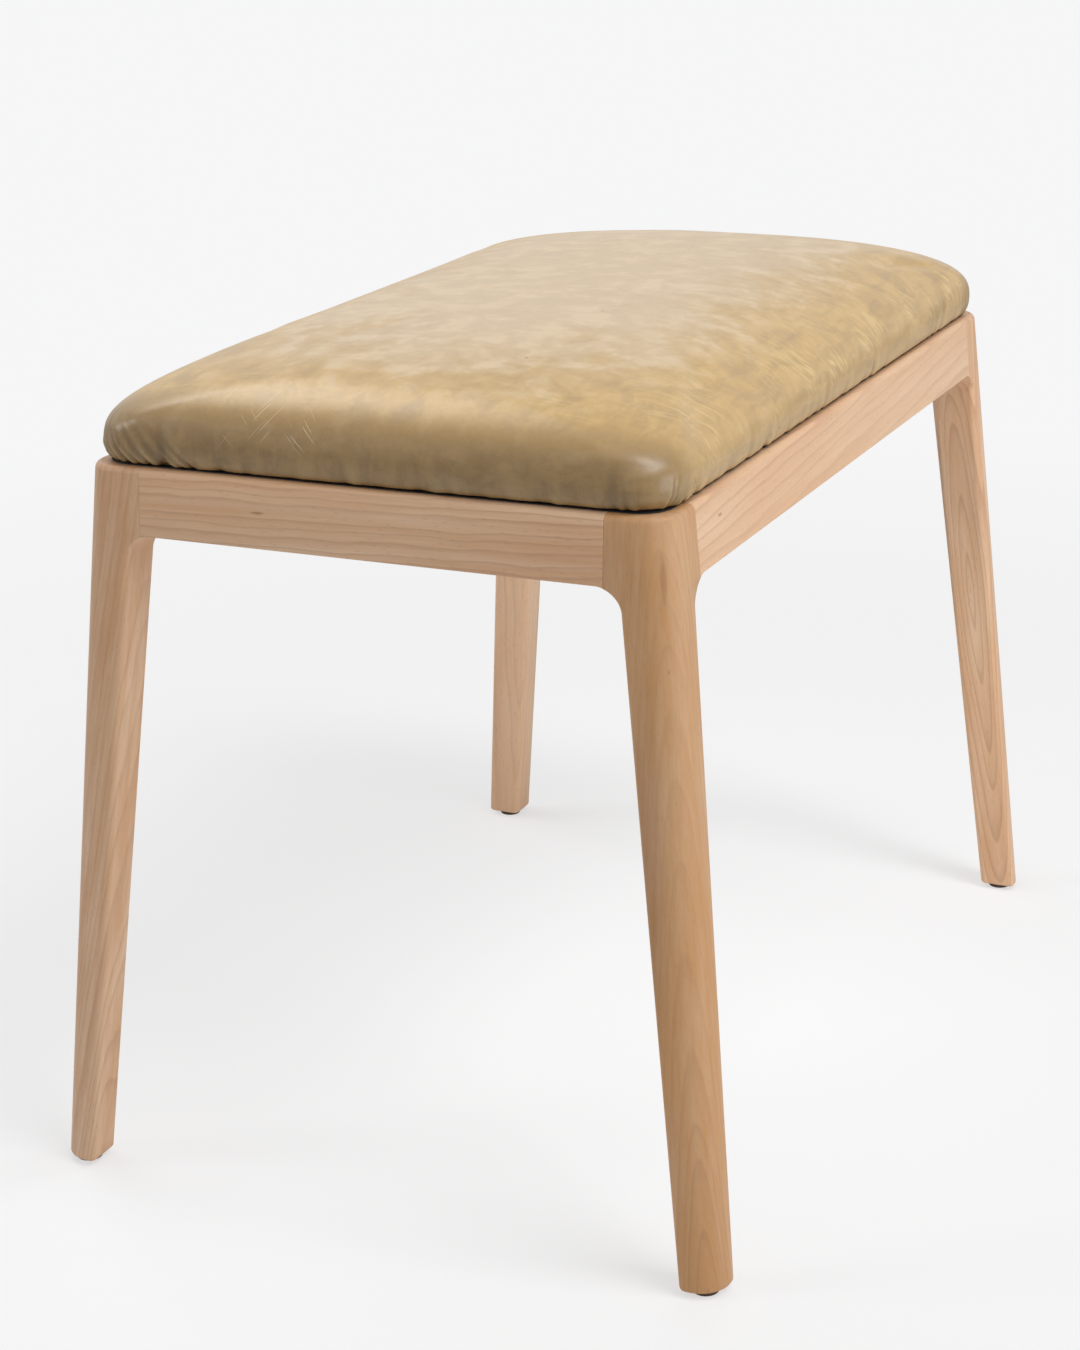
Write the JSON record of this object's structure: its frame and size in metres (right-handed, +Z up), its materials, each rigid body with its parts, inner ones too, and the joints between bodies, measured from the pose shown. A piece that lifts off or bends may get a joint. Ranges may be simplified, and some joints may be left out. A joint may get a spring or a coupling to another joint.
{
  "type": "upholstered fitting stool",
  "caption": "Low rectangular stool with a crowned leather pad on a beech frame, tapered splayed legs and small round glides.",
  "frame": {"origin": "centre of the footprint, on the floor", "axes": "+Z up, +Y along the stool's long side, +X along its short side"},
  "size_m": [0.415, 0.6154, 0.4785],
  "materials": {
    "beech": "satin lacquer",
    "dowel_beech": "plain",
    "block_wood": "plain",
    "plywood": "plain",
    "foam": "open cell foam",
    "leather": "semi-gloss, mottled",
    "lining": "non-woven",
    "screw_steel": "zinc plated",
    "staple_steel": "bright",
    "glide_plastic": "matt"
  },
  "bodies": {
    "root": {"front_left_leg": "beech", "front_right_leg": "beech", "back_left_leg": "beech", "back_right_leg": "beech", "front_rail": "beech", "back_rail": "beech", "left_rail": "beech", "right_rail": "beech", "rail_dowels": "dowel_beech", "front_left_corner_block": "block_wood", "front_right_corner_block": "block_wood", "back_left_corner_block": "block_wood", "back_right_corner_block": "block_wood", "corner_block_screws": "screw_steel", "seat_screws": "screw_steel", "seat_board": "plywood", "foam_pad": "foam", "leather_cover": "leather", "cover_staples": "staple_steel", "under_lining": "lining", "front_left_glide": "glide_plastic", "front_right_glide": "glide_plastic", "back_left_glide": "glide_plastic", "back_right_glide": "glide_plastic", "glide_nails": "screw_steel"}
  },
  "joints": []
}
